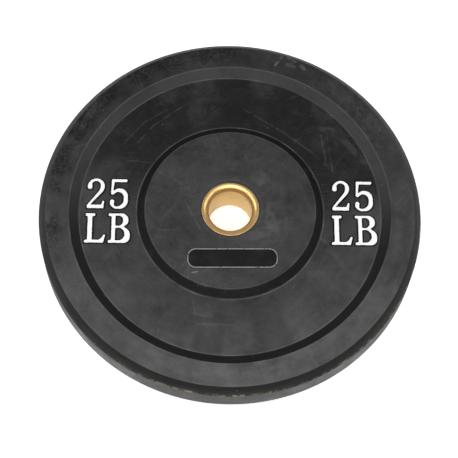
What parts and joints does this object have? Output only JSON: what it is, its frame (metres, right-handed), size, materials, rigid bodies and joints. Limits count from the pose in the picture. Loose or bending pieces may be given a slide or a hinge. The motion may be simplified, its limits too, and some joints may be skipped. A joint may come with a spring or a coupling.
{
  "type": "bumper plate",
  "caption": "Round rubber bumper plate with a raised hub, recessed web, thick rim and a bell-mouthed brass bushing for a barbell sleeve.",
  "frame": {"origin": "on the bore's axis, at the rear face of the hub, which rests on the floor", "axes": "+Z along the bore's axis, out of the front face; +X to the right and -Y towards the reader of the weight marks"},
  "size_m": [0.45, 0.45, 0.053],
  "materials": {
    "rubber": "matt moulded rubber, handled and dusty",
    "brass": "worn satin brass",
    "steel": "plain sheet steel, sealed in the rubber",
    "braze": "as-brazed filler metal, sealed in the rubber"
  },
  "bodies": {
    "root": {"rubber_body": "rubber", "bushing": "brass", "anchor_disc": "steel", "braze_ring": "braze"}
  },
  "joints": []
}
